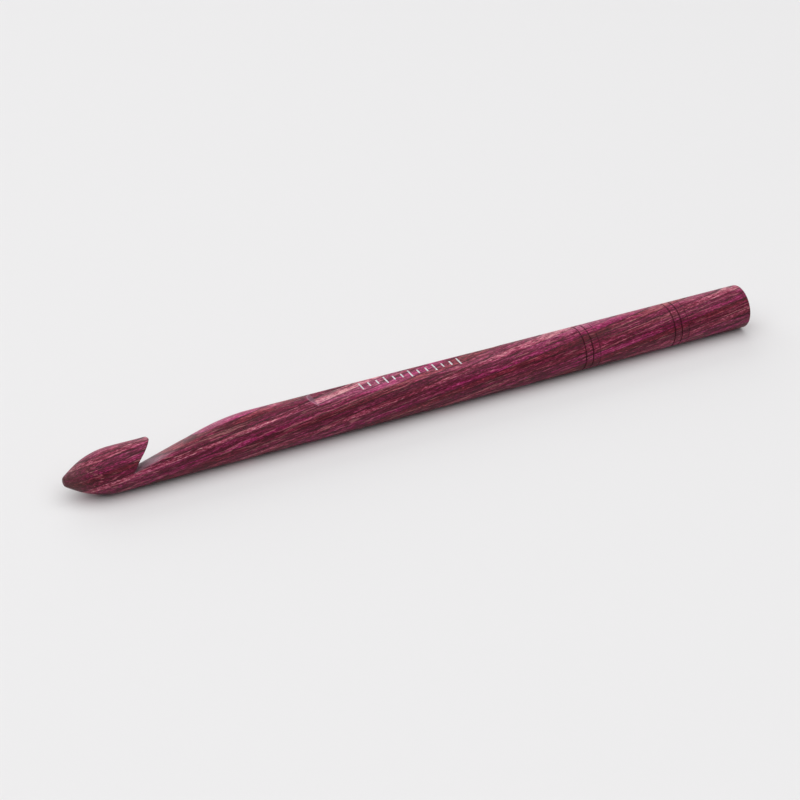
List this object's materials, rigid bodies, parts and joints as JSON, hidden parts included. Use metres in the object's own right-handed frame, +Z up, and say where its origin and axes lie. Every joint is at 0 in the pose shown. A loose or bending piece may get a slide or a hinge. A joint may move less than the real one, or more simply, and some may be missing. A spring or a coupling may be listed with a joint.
{
  "type": "crochet hook",
  "caption": "Round single-ended crochet hook of glued, dyed veneer plies, with a bullet head, a deep throat, a flat thumb rest and scribed rings near the butt.",
  "frame": {"origin": "under the middle of the hook, on the plane that it lies on", "axes": "+X along the shaft from the tip of the head to the butt end, +Z up as it lies; the flat of the thumb rest faces +Z and the mouth of the throat is rolled 30 degrees from +Z towards +Y"},
  "size_m": [0.15, 0.009, 0.009],
  "materials": {
    "veneer_plum": "satin",
    "veneer_rose": "satin",
    "veneer_mauve": "satin",
    "veneer_magenta": "satin",
    "veneer_maroon": "satin"
  },
  "bodies": {
    "root": {"ply_01": "veneer_plum", "ply_02": "veneer_rose", "ply_03": "veneer_mauve", "ply_04_lip": "veneer_magenta", "ply_04_shaft": "veneer_magenta", "ply_05_lip": "veneer_maroon", "ply_05_shaft": "veneer_maroon", "ply_06": "veneer_plum", "ply_07": "veneer_rose", "ply_08": "veneer_mauve", "ply_09": "veneer_magenta", "ply_10": "veneer_maroon", "ply_11": "veneer_plum", "ply_12": "veneer_rose", "ply_13": "veneer_mauve", "ply_14": "veneer_magenta", "ply_15": "veneer_maroon", "ply_16": "veneer_plum", "ply_17": "veneer_rose", "ply_18": "veneer_mauve", "ply_19": "veneer_magenta", "ply_20": "veneer_maroon", "ply_21": "veneer_plum", "ply_22": "veneer_rose", "ply_23": "veneer_mauve", "ply_24": "veneer_magenta", "ply_25": "veneer_maroon"}
  },
  "joints": []
}
